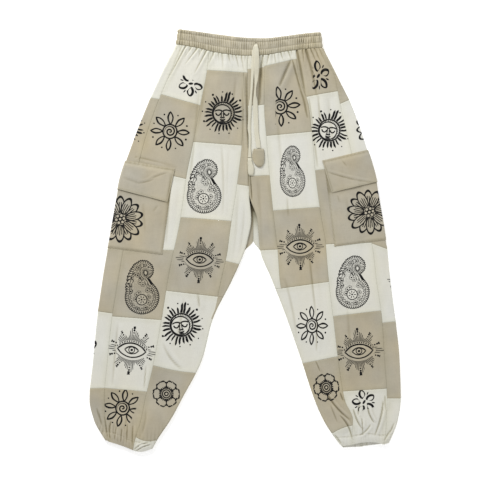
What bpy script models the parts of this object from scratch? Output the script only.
"""Patchwork cotton joggers, laid flat on their back with the front up.

X runs across the waist, Y from the hems to the waist, Z up from the surface the cloth lies on. The model is
written in millimetres and made in metres. Each leg is worked out in its own frame: "out" is the distance
from the centre line towards the side fold, so that one set of functions makes both legs.

A leg is a flat tube. Round it, in order, lie the inner fold, the front run, the side fold and the back run,
and every patch is a stretch of that ring between two seams that run down the leg and two that cross it.
"""
import math
from collections import namedtuple

import bmesh
import bpy
import numpy as np

MM = 0.001

# One layer of cloth, the seam between two patches and the gap where a layer lies on another.
CLOTH = 1.0
SEAM = 0.3
LAYER = CLOTH + 0.3
HALF = SEAM / 2

# Where a front and a back patch meet on an inner fold their edges lean together, so each stops this short.
RIM_CLEAR = 0.4 * CLOTH

# The elasticated waistband is gathered and sewn in two channels, so its wall is thicker.
BAND_CLOTH = 2.5
BAND_HEIGHT = 13.0
BAND_SEAM = 0.5

# The ties are flat sewn strips, and each ends in a folded cloth tip.
TIE_THICK = 2.4
TIP_THICK = 3.6
TIE_CLEAR = 0.5

# Rings are worked out at these heights, closer at the hems. Every long seam is straight between two of them.
LEVELS = [495 - 33 * step for step in range(28)] + [-411, -428, -446, -462, -478, -492, -506, -520, -534]
LEVEL_CLEAR = 3.0

# Steps across a column of patches, across the crotch strip, and along half of the waistband.
COLUMN_CELLS = 4
STRIP_CELLS = 2
BAND_CELLS = 14

# A cross seam meets a slanting long seam after this many corrections. Under the waistband they start here.
SEAM_ROUNDS = 4
BELOW_BAND = 465.0

# The long seams of the front stay this far from where a fold begins.
FOLD_CLEAR = 1.5

# Distances out from the centre line, at a height y up the garment. side is the outer fold and inner the inner
# one; outseam, midseam and inseam are the long seams of the front; backseam and centreback those of the back.
Section = namedtuple("Section", "y side outseam midseam inseam inner backseam centreback")

RIGHT_SECTIONS = [
    Section(480, 169, 151, 84, -3, -6, 95, -6),
    Section(468, 176, 156, 86, -3, -6, 98, -6),
    Section(405, 208, 185, 95, -1, -6, 112, -6),
    Section(330, 241, 217, 110, 3, -7, 132, -7),
    Section(245, 274, 246, 126, 7, -8, 152, -8),
    Section(150, 306, 269, 145, 18, -10, 170, -10),
    Section(118, 312, 275, 149, 22, -10, 174, -13),
    Section(50, 324, 286, 159, 33, -15, 182, -20),
    Section(0, 333, 294, 169, 40, -6, 187, -20),
    Section(-25, 338, 299, 175, 43, 1, 190, 1),
    Section(-95, 350, 311, 189, 58, 31, 205, 31),
    Section(-195, 364, 327, 205, 80, 80, 222, 80),
    Section(-290, 373, 337, 222, 105, 105, 240, 105),
    Section(-390, 382, 345, 245, 156, 156, 262, 156),
    Section(-440, 371, 343, 255, 183, 183, 268, 183),
    Section(-490, 343, 335, 270, 216, 216, 277, 216),
    Section(-520, 327, 321, 276, 232, 232, 280, 232),
]
LEFT_SECTIONS = [
    Section(480, 187, 175, 123, 44, 6, 105, 6),
    Section(468, 193, 182, 124, 44, 6, 108, 6),
    Section(405, 225, 218, 131, 47, 6, 122, 6),
    Section(330, 262, 234, 156, 47, 7, 148, 7),
    Section(245, 292, 254, 166, 53, 8, 168, 8),
    Section(150, 320, 276, 174, 61, 10, 183, 10),
    Section(118, 325, 283, 178, 64, 10, 187, 13),
    Section(50, 337, 299, 188, 71, 30, 197, 20),
    Section(0, 345, 309, 197, 77, 34, 205, 20),
    Section(-25, 349, 314, 199, 80, 37, 208, 37),
    Section(-95, 356, 322, 205, 85, 65, 214, 65),
    Section(-195, 369, 336, 217, 104, 104, 224, 104),
    Section(-290, 379, 342, 228, 137, 137, 238, 137),
    Section(-390, 382, 348, 244, 170, 170, 253, 170),
    Section(-440, 375, 347, 264, 192, 192, 268, 192),
    Section(-490, 356, 342, 262, 225, 225, 285, 225),
    Section(-520, 340, 333, 262, 252, 252, 290, 252),
]

# What changes down both legs alike: the height of the flat tube, and how far each inner edge rolls over, from
# 0 at the centre seams to 1 on the legs. The front parts at 110 and the back at the crotch, near 0.
Profile = namedtuple("Profile", "y height roll backroll")
PROFILES = [
    Profile(480, 13, 0, 0),
    Profile(455, 13, 0, 0),
    Profile(400, 10, 0, 0),
    Profile(330, 7, 0, 0),
    Profile(245, 6, 0, 0),
    Profile(125, 6, 0, 0),
    Profile(85, 6, 1, 0),
    Profile(0, 6, 1, 0),
    Profile(-30, 6, 1, 1),
    Profile(-390, 6, 1, 1),
    Profile(-440, 8, 1, 1),
    Profile(-480, 9, 1, 1),
    Profile(-520, 9, 1, 1),
]

# A seam across a column of patches: its height where the column starts and ends, going round the ring, and
# how far its middle sags. WAIST stands for the waistband's lower edge.
Seam = namedtuple("Seam", "start end sag", defaults=(0,))
WAIST = Seam(None, None)

# A patch's cloth is cream or beige, one letter for each patch down the column.
Column = namedtuple("Column", "cloths seams")
RIGHT_COLUMNS = {
    "outer": Column("cbcbcb", [WAIST, Seam(331, 358), Seam(151, 178), Seam(-24, -23), Seam(-195, -186),
                               Seam(-371, -362), Seam(-514, -493)]),
    "inner": Column("cbcbcbc", [WAIST, Seam(411, 417), Seam(232, 242), Seam(44, 57), Seam(-139, -123),
                                Seam(-325, -305, 3), Seam(-490, -480, 6), Seam(-511, -514, 5)]),
    "gusset": Column("b", [Seam(411, 417), Seam(-139, -123)]),
    "side": Column("cbcbcb", [WAIST, Seam(346, 349), Seam(173, 173), Seam(-18, -18), Seam(-179, -174),
                              Seam(-362, -363), Seam(-493, -490)]),
    "back": Column("bcbcb", [WAIST, Seam(300, 296), Seam(110, 106), Seam(-80, -84), Seam(-270, -278),
                             Seam(-511, -509, 5)]),
}
LEFT_COLUMNS = {
    "outer": Column("bcbcbc", [WAIST, Seam(352, 366), Seam(172, 182), Seam(-9, -5), Seam(-186, -172),
                               Seam(-370, -363), Seam(-501, -500, -6)]),
    "inner": Column("cbcbcbc", [WAIST, Seam(419, 445), Seam(253, 267), Seam(70, 82), Seam(-119, -101),
                                Seam(-301, -284), Seam(-471, -453, -3), Seam(-504, -501)]),
    "gusset": Column("c", [WAIST, Seam(-119, -101)]),
    "side": Column("bcbcbc", [WAIST, Seam(335, 344), Seam(173, 175), Seam(-7, -20), Seam(-202, -199),
                              Seam(-387, -387), Seam(-500, -497)]),
    "back": Column("cbcbc", [WAIST, Seam(265, 261), Seam(75, 71), Seam(-115, -119), Seam(-300, -308),
                             Seam(-506, -508)]),
}

# The side column's last cross seam on the back, where its hem runs on to the back column's.
BACK_HEM = {"right": -511, "left": -506}

# A pocket piece lies on the front, wraps the side fold and ends a little way round the back: its inner edge
# from top to bottom, then the heights of its two ends at the inner edge and at the side fold.
Flat = namedtuple("Flat", "out_top out_bottom top_inner top_side bottom_inner bottom_side")
POUCHES = {
    "right": Flat(176, 203, 170, 188, -35, -18),
    "left": Flat(194, 219, 188, 216, -15, 1),
}
FLAPS = {
    "right": Flat(172, 190, 176, 196, 94, 125),
    "left": Flat(189, 212, 196, 222, 117, 143),
}
POCKET_WRAP = 34

# Under the wrapped pocket the back run is lifted, by a layer at the pouch and another at the flap: the
# heights between which the lift is whole, the reach of its fade, and the same across from the side fold.
POUCH_LIFT = (-80, 260)
FLAP_LIFT = (55, 260)
LIFT_FADE = 36
LIFT_ACROSS = 58
LIFT_ACROSS_FADE = 40

# The largest folds of the front: two ends, half width and height.
Fold = namedtuple("Fold", "out0 y0 out1 y1 wide high")
FOLDS = {
    "right": [Fold(52, 440, 66, 330, 18, 2.5), Fold(118, 440, 140, 300, 18, 2.5),
              Fold(262, -425, 300, -470, 20, 2)],
    "left": [Fold(112, 440, 138, 330, 18, 3), Fold(165, 445, 205, 300, 18, 3),
             Fold(215, -400, 252, -470, 20, 2.5)],
}

# The waistband's upper and lower edge across the front.
Edge = namedtuple("Edge", "x top low")
WAIST_EDGE = [
    Edge(-180, 519, 481),
    Edge(-165, 517.8, 479),
    Edge(-120, 512, 471.5),
    Edge(-70, 505, 460),
    Edge(0, 497, 452),
    Edge(45, 495.5, 453.5),
    Edge(100, 501, 462.5),
    Edge(145, 507, 468),
    Edge(187, 510.5, 471.5),
    Edge(200, 511, 472),
]

# Where the band's folds lie at its top and at its bottom, and its two side seams, which sit on the front.
BAND_END = {"right": (-163.5, -169), "left": (185.5, 189)}
BAND_SIDE_SEAM = {"right": -156.0, "left": 171.0}

# The ties leave a buttonhole at the middle of the band: places down each tie and its width as it lies.
Tie = namedtuple("Tie", "x y wide")
TIES = {
    "left": [Tie(27, 479, 6), Tie(29, 464, 11), Tie(29.5, 442, 12), Tie(29, 420, 12), Tie(28, 393, 9),
             Tie(26, 372, 5), Tie(24, 358, 5), Tie(25, 340, 11), Tie(26, 310, 11), Tie(28, 270, 11),
             Tie(31, 244, 11), Tie(34, 226, 10)],
    "right": [Tie(20, 477, 4), Tie(18.5, 462, 7), Tie(18, 440, 7), Tie(17, 405, 7), Tie(16, 375, 6),
              Tie(15, 358, 5), Tie(13, 335, 7), Tie(11, 300, 7), Tie(10, 276, 8), Tie(12, 248, 4.5),
              Tie(11, 225, 6), Tie(11, 203, 8)],
}
TIPS = {
    "left": [Tie(35, 225, 14), Tie(32, 214, 25), Tie(32, 204, 28), Tie(34, 190, 22), Tie(32, 180, 12)],
    "right": [Tie(11, 202, 9), Tie(12, 190, 12), Tie(14, 176, 15), Tie(14, 166, 14), Tie(14, 159, 8)],
}
TIE_STEP = 14

# Colour, roughness and metallic value of each cloth.
CLOTHS = {
    "c": ("cream_cotton", (0.75, 0.74, 0.68, 1), 0.85, 0.0),
    "b": ("beige_cotton", (0.47, 0.43, 0.34, 1), 0.85, 0.0),
    "w": ("waistband_cotton", (0.43, 0.39, 0.30, 1), 0.88, 0.0),
    "t": ("tie_cotton", (0.78, 0.75, 0.64, 1), 0.82, 0.0),
}


def smooth(heights, values, at):
    """The values at other heights, on a curve through the rows that never overshoots them."""
    order = np.argsort(heights)
    x, v = np.array(heights, float)[order], np.array(values, float)[order]
    step = np.diff(x)
    slope = np.diff(v) / step
    tangent = np.zeros_like(v)
    tangent[0], tangent[-1] = slope[0], slope[-1]
    for i in range(1, len(v) - 1):
        if slope[i - 1] * slope[i] > 0:
            tangent[i] = 2 * slope[i - 1] * slope[i] / (slope[i - 1] + slope[i])
    at = np.clip(np.array(at, float), x[0], x[-1])
    k = np.clip(np.searchsorted(x, at) - 1, 0, len(step) - 1)
    t = (at - x[k]) / step[k]
    return ((1 + 2 * t) * (1 - t) ** 2 * v[k] + t * (1 - t) ** 2 * step[k] * tangent[k]
            + t * t * (3 - 2 * t) * v[k + 1] + t * t * (t - 1) * step[k] * tangent[k + 1])


def plateau(value, low, high, fade):
    """1 between low and high, falling to 0 over the fade beyond either."""
    return float(np.clip(1 - max(low - value, value - high) / fade, 0, 1))


def waist(x, edge):
    """Height of the waistband's top or low edge at x."""
    return float(smooth([row.x for row in WAIST_EDGE], [getattr(row, edge) for row in WAIST_EDGE], x))


class Leg:
    """One leg's ring of cloth at each height, with out measured away from the centre line."""

    def __init__(self, name, sign, sections, columns):
        self.name, self.sign, self.columns = name, sign, columns
        self.table = {}
        for rows in (sections, PROFILES):
            for column in rows[0]._fields[1:]:
                values = [getattr(row, column) for row in rows]
                self.table[column] = smooth([row.y for row in rows], values, LEVELS)

    def at(self, column, y):
        return float(np.interp(-y, -np.array(LEVELS, float), self.table[column]))

    def lift(self, y, across):
        """How far the back run is lifted over the pocket's wrapped end."""
        layers = plateau(y, *POUCH_LIFT, LIFT_FADE) + plateau(y, *FLAP_LIFT, LIFT_FADE)
        return LAYER * layers * plateau(across, 0, LIFT_ACROSS, LIFT_ACROSS_FADE)

    def side_radius(self, y):
        return (self.at("height", y) - self.lift(y, 0)) / 2

    def side_start(self, y):
        """Where the front run ends and the side fold begins."""
        return self.at("side", y) - self.side_radius(y)

    def bend(self, y, roll):
        """Angle that an inner edge rolls through, and its radius for the length of a quarter round."""
        angle = max(self.at(roll, y) * math.pi / 2, 0.001)
        return angle, self.at("height", y) / 2 * math.pi / 2 / angle

    def inner_start(self, y, edge="inner", roll="roll"):
        """Where the front run, or the back one, ends and its inner edge begins to roll."""
        angle, radius = self.bend(y, roll)
        return self.at(edge, y) + radius * math.sin(angle)

    def line(self, column, y):
        """A long seam's distance out, kept clear of the folds."""
        if column == "side_start":
            return self.side_start(y)
        if column == "inner_start":
            return self.inner_start(y)
        if column == "under_start":
            return self.inner_start(y, "centreback", "backroll")
        if column == "outseam":
            return min(self.at(column, y), self.side_start(y) - FOLD_CLEAR)
        if column == "inseam":
            return max(self.at(column, y), self.inner_start(y) + FOLD_CLEAR)
        return self.at(column, y)

    def fold_height(self, out, y):
        total = 0.0
        for fold in FOLDS[self.name]:
            along_out, along_y = fold.out1 - fold.out0, fold.y1 - fold.y0
            t = ((out - fold.out0) * along_out + (y - fold.y0) * along_y) / (along_out ** 2 + along_y ** 2)
            away = math.hypot(out - fold.out0 - t * along_out, y - fold.y0 - t * along_y)
            total += fold.high * math.exp(-(away / fold.wide) ** 2) * max(0.0, 1 - (2 * t - 1) ** 4)
        return total

    # A station is a place on the ring: a function of the height that gives how far out and how high it lies,
    # moved off the cloth by lay.

    def front(self, start, end, t, inset=0.0):
        def place(y, lay=0.0):
            out = self.line(start, y) * (1 - t) + self.line(end, y) * t + inset
            return out, self.at("height", y) + self.fold_height(out, y) + lay
        return place

    def side(self, degrees):
        turn = math.radians(degrees)

        def place(y, lay=0.0):
            radius, base = self.side_radius(y), self.lift(y, 0)
            reach = radius + lay
            return self.side_start(y) + reach * math.cos(turn), base + radius + reach * math.sin(turn)
        return place

    def under(self, start, end, t, inset=0.0):
        def place(y, lay=0.0):
            out = self.line(start, y) * (1 - t) + self.line(end, y) * t + inset
            return out, self.lift(y, self.side_start(y) - out) - lay
        return place

    def inner(self, turn, under=False):
        edge, roll = ("centreback", "backroll") if under else ("inner", "roll")

        def place(y, lay=0.0):
            angle, radius = self.bend(y, roll)
            clear = HALF + RIM_CLEAR * self.at(roll, y)
            turned = angle * (1 - max(turn, clear / (angle * radius)))
            out = self.inner_start(y, edge, roll) - radius * math.sin(turned)
            drop = radius * (1 - math.cos(turned))
            return out, drop if under else self.at("height", y) - drop
        return place

    def cross_seam(self, seam, t, place):
        """Height of a cross seam at the share t of its column or, with no t, by how far out the place is."""
        if seam.start is not None and t is not None:
            return seam.start * (1 - t) + seam.end * t - seam.sag * 4 * t * (1 - t)
        y = BELOW_BAND if seam.start is None else seam.start
        for _ in range(SEAM_ROUNDS):
            out = place(y)[0]
            y = waist(self.sign * out, "low") - BAND_SEAM if seam.start is None else self.seam_line(seam, out)
        return y

    def seam_line(self, seam, out):
        """Height of the inner column's cross seam at a distance out, between the inner fold and midseam."""
        near, far = self.line("inner_start", seam.start), self.line("midseam", seam.start)
        t = float(np.clip((out - near) / (far - near), 0, 1))
        return seam.start * (1 - t) + seam.end * t - seam.sag * 4 * t * (1 - t)


RIGHT = Leg("right", -1, RIGHT_SECTIONS, RIGHT_COLUMNS)
LEFT = Leg("left", 1, LEFT_SECTIONS, LEFT_COLUMNS)


def cloth_material(key):
    name, colour, roughness, metallic = CLOTHS[key]
    material = bpy.data.materials.get(name)
    if material is None:
        material = bpy.data.materials.new(name)
        material.use_nodes = True
        shader = material.node_tree.nodes["Principled BSDF"]
        shader.inputs["Base Color"].default_value = colour
        shader.inputs["Roughness"].default_value = roughness
        shader.inputs["Metallic"].default_value = metallic
    return material


def add_object(name, mesh, cloth):
    mesh.materials.append(cloth_material(cloth))
    mesh.shade_smooth()
    piece = bpy.data.objects.new(name, mesh)
    bpy.context.scene.collection.objects.link(piece)
    return piece


def sheet(name, chains, cloth, sign=1, wall=CLOTH):
    """A piece of cloth whose outer face runs through chains of points, each going down the garment."""
    mesh = bpy.data.meshes.new(name)
    form = bmesh.new()
    rows = [[form.verts.new((sign * x * MM, y * MM, z * MM)) for x, y, z in chain] for chain in chains]
    for a, b in zip(rows, rows[1:]):
        i = j = 0
        while i < len(a) - 1 or j < len(b) - 1:
            down_a = j == len(b) - 1 or (i < len(a) - 1 and a[i + 1].co.y >= b[j + 1].co.y)
            corners = (a[i], a[i + 1], b[j]) if down_a else (a[i], b[j + 1], b[j])
            form.faces.new(corners if sign > 0 else corners[::-1])
            i, j = (i + 1, j) if down_a else (i, j + 1)
    form.to_mesh(mesh)
    form.free()
    piece = add_object(name, mesh, cloth)
    solid = piece.modifiers.new("wall", "SOLIDIFY")
    solid.thickness = wall * MM
    solid.offset = -1
    return piece


def levels_between(top, bottom):
    inside = [y for y in LEVELS if bottom + LEVEL_CLEAR < y < top - LEVEL_CLEAR]
    return [top] + inside + [bottom]


def column_chains(leg, stations, upper, lower):
    """Chains for one patch. A station is its place and its share of the way along the cross seams."""
    chains = []
    for place, share in stations:
        top = leg.cross_seam(upper, share, place) - HALF
        bottom = leg.cross_seam(lower, share, place) + HALF
        chains.append([(place(y)[0], y, place(y)[1]) for y in levels_between(top, bottom)])
    return chains


def spread(place, start, end, cells, first=HALF, last=-HALF, shared=True):
    """Stations in equal steps between two long seams, half a gap clear of each."""
    return [(place(start, end, i / cells, first if i == 0 else last if i == cells else 0.0),
             i / cells if shared else None) for i in range(cells + 1)]


def make_column(leg, name, stations_for):
    column = leg.columns[name]
    for i, cloth in enumerate(column.cloths):
        upper, lower = column.seams[i], column.seams[i + 1]
        label = f"{leg.name}_{name}" + (f"_{i + 1}" if len(column.cloths) > 1 else "")
        sheet(label, column_chains(leg, stations_for(i), upper, lower), cloth, leg.sign)


def outer_stations(leg):
    return lambda i: spread(leg.front, "midseam", "outseam", COLUMN_CELLS)


def rolled_edge(leg):
    """The stations of the front's quarter round at the inner fold, from the edge to where it lies flat."""
    return [(leg.inner(0.0), None), (leg.inner(0.5), None)]


def inner_stations(leg):
    """Patches beside the crotch strip end at it. The others reach the front's middle or the inner fold."""
    def stations(i):
        upper, strip = leg.columns["inner"].seams[i], leg.columns["gusset"].seams
        above = strip[0] is not WAIST and i == 0
        below = i > 0 and upper.start <= strip[1].start
        if above or below:
            flat = spread(leg.front, "inner_start", "midseam", COLUMN_CELLS, 0.0, -HALF, False)
            return rolled_edge(leg) + flat
        return spread(leg.front, "inseam", "midseam", COLUMN_CELLS, HALF, -HALF, False)
    return stations


def gusset_stations(leg):
    flat = spread(leg.front, "inner_start", "inseam", STRIP_CELLS, 0.0, -HALF, False)
    return lambda i: rolled_edge(leg) + flat


def back_stations(leg):
    rolled = [(leg.inner(0.5, True), 1.0), (leg.inner(0.0, True), 1.0)]
    return lambda i: spread(leg.under, "backseam", "under_start", COLUMN_CELLS, -HALF, 0.0) + rolled


def make_side(leg):
    """The side column wraps the fold: a strip of the front, the fold, and the outer part of the back."""
    column = leg.columns["side"]
    strip = [(leg.front("outseam", "side_start", 0.0, HALF), 0.0), (leg.side(90), 1.0)]
    turn = [(leg.side(degrees), 1.0) for degrees in (45, 0, -45, -90)]
    across = ((1 / 3, 0.0), (2 / 3, 0.0), (1.0, HALF))
    flat = [(leg.under("side_start", "backseam", t, inset), 1.0) for t, inset in across]
    for i, cloth in enumerate(column.cloths):
        chains = column_chains(leg, strip + turn + flat, column.seams[i], column.seams[i + 1])
        if i == len(column.cloths) - 1:
            chains[-len(flat):] = slope_hem(leg, flat, column.seams[i], BACK_HEM[leg.name])
        sheet(f"{leg.name}_side_{i + 1}", chains, cloth, leg.sign)


def slope_hem(leg, stations, upper, back_hem):
    """The last patch's back run, whose hem slopes from the side fold to the back column's hem."""
    fold_hem = leg.columns["side"].seams[-1].end
    chains = []
    for step, (place, _) in enumerate(stations, 1):
        lower = Seam(fold_hem, back_hem)
        bottom = leg.cross_seam(lower, step / len(stations), place) + HALF
        top = leg.cross_seam(upper, 1.0, place) - HALF
        chains.append([(place(y)[0], y, place(y)[1]) for y in levels_between(top, bottom)])
    return chains


def make_pocket_piece(leg, name, shape, lay):
    """A pouch or flap, made of the leg's own points moved out by the layers under it."""
    def edge(y):
        t = (shape.top_inner - y) / (shape.top_inner - shape.bottom_inner)
        return shape.out_top * (1 - t) + shape.out_bottom * t

    def run(t):
        def place(y, lay=0.0):
            out = edge(y) * (1 - t) + leg.side_start(y) * t
            return out, leg.at("height", y) + lay
        return place

    def wrap(reach):
        def place(y, lay=0.0):
            out = leg.side_start(y) - reach
            return out, leg.lift(y, reach) - lay
        return place

    stations = [(run(i / COLUMN_CELLS), i / COLUMN_CELLS) for i in range(COLUMN_CELLS + 1)]
    stations += [(leg.side(degrees), 1.0) for degrees in (45, 0, -45, -90)]
    stations += [(wrap(POCKET_WRAP / 2), 1.0), (wrap(POCKET_WRAP), 1.0)]
    chains = []
    for place, share in stations:
        top = shape.top_inner * (1 - share) + shape.top_side * share
        bottom = shape.bottom_inner * (1 - share) + shape.bottom_side * share
        chains.append([(place(y, lay)[0], y, place(y, lay)[1]) for y in levels_between(top, bottom)])
    sheet(f"{leg.name}_{name}", chains, "b", leg.sign)


def make_leg(leg):
    make_column(leg, "outer", outer_stations(leg))
    make_column(leg, "inner", inner_stations(leg))
    make_column(leg, "gusset", gusset_stations(leg))
    make_column(leg, "back", back_stations(leg))
    make_side(leg)
    make_pocket_piece(leg, "pouch", POUCHES[leg.name], LAYER)
    make_pocket_piece(leg, "flap", FLAPS[leg.name], 2 * LAYER)


def band_chain(x_at, z):
    """A line of points down the waistband. x_at gives the place across for a share of the way down."""
    chain = []
    for t in (0, 0.5, 1):
        x = x_at(t)
        chain.append((x, waist(x, "top") * (1 - t) + (waist(x, "low") + HALF) * t, z))
    return chain


def band_fold(end, degrees):
    """The waistband's fold at one end of the waist."""
    outward = 1 if end == "left" else -1
    radius, turn = BAND_HEIGHT / 2, math.radians(degrees)

    def x_at(t):
        top, low = BAND_END[end]
        return top * (1 - t) + low * t + outward * radius * (math.cos(turn) - 1)
    return band_chain(x_at, radius + radius * math.sin(turn))


def make_waistband():
    """A front band, and a back band that wraps both folds and meets it at the side seams."""
    right, left = BAND_SIDE_SEAM["right"], BAND_SIDE_SEAM["left"]
    across = [right + HALF + (left - right - SEAM) * i / BAND_CELLS for i in range(BAND_CELLS + 1)]
    sheet("waistband_front", [band_chain(lambda t, x=x: x, BAND_HEIGHT) for x in across], "w", 1, BAND_CLOTH)
    chains = [band_chain(lambda t: left + HALF, BAND_HEIGHT)]
    chains += [band_fold("left", degrees) for degrees in (90, 45, 0, -45)]
    inset = BAND_HEIGHT / 2

    def back_x(i):
        def x_at(t):
            ends = [BAND_END[end][0] * (1 - t) + BAND_END[end][1] * t for end in ("left", "right")]
            return (ends[0] - inset) * (1 - i / BAND_CELLS) + (ends[1] + inset) * i / BAND_CELLS
        return x_at
    chains += [band_chain(back_x(i), 0.0) for i in range(BAND_CELLS + 1)]
    chains += [band_fold("right", degrees) for degrees in (-45, 0, 45, 90)]
    chains += [band_chain(lambda t: right - HALF, BAND_HEIGHT)]
    sheet("waistband_back", chains, "w", 1, BAND_CLOTH)


def front_height(x, y):
    """Height of the front's outer face at a place on the garment."""
    if y > waist(x, "low"):
        return BAND_HEIGHT
    leg = LEFT if x > LEFT.at("inner", y) else RIGHT
    return leg.at("height", y) + leg.fold_height(leg.sign * x, y)


def make_strip(name, rows, thick, cloth):
    """A flat strip that lies on the front, through places with their widths, rounded along its edges."""
    heights = [row.y for row in rows]
    steps = max(2, round((heights[0] - heights[-1]) / TIE_STEP))
    ys = np.linspace(heights[0], heights[-1], steps + 1)
    xs = smooth(heights, [row.x for row in rows], ys)
    wides = smooth(heights, [row.wide for row in rows], ys)
    mesh = bpy.data.meshes.new(name)
    form = bmesh.new()
    rings = []
    for x, y, wide in zip(xs, ys, wides):
        low = max(front_height(x + side * wide / 2, y + near) for side in (-1, 0, 1) for near in (-8, 0, 8))
        low += TIE_CLEAR
        edge = min(wide / 4, thick / 2)
        profile = [(-wide / 2, thick / 2), (-wide / 2 + edge, 0), (wide / 2 - edge, 0),
                   (wide / 2, thick / 2), (wide / 2 - edge, thick), (-wide / 2 + edge, thick)]
        rings.append([form.verts.new(((x + across) * MM, y * MM, (low + up) * MM)) for across, up in profile])
    for a, b in zip(rings, rings[1:]):
        for i in range(len(a)):
            form.faces.new((a[i], a[i - 1], b[i - 1], b[i]))
    form.faces.new(rings[0])
    form.faces.new(rings[-1][::-1])
    bmesh.ops.recalc_face_normals(form, faces=form.faces)
    form.to_mesh(mesh)
    form.free()
    add_object(name, mesh, cloth)


def make_ties():
    for end in ("left", "right"):
        make_strip(f"tie_{end}", TIES[end], TIE_THICK, "t")
        make_strip(f"tie_tip_{end}", TIPS[end], TIP_THICK, "b" if end == "left" else "t")


for old in list(bpy.data.objects):
    bpy.data.objects.remove(old, do_unlink=True)
make_leg(RIGHT)
make_leg(LEFT)
make_waistband()
make_ties()
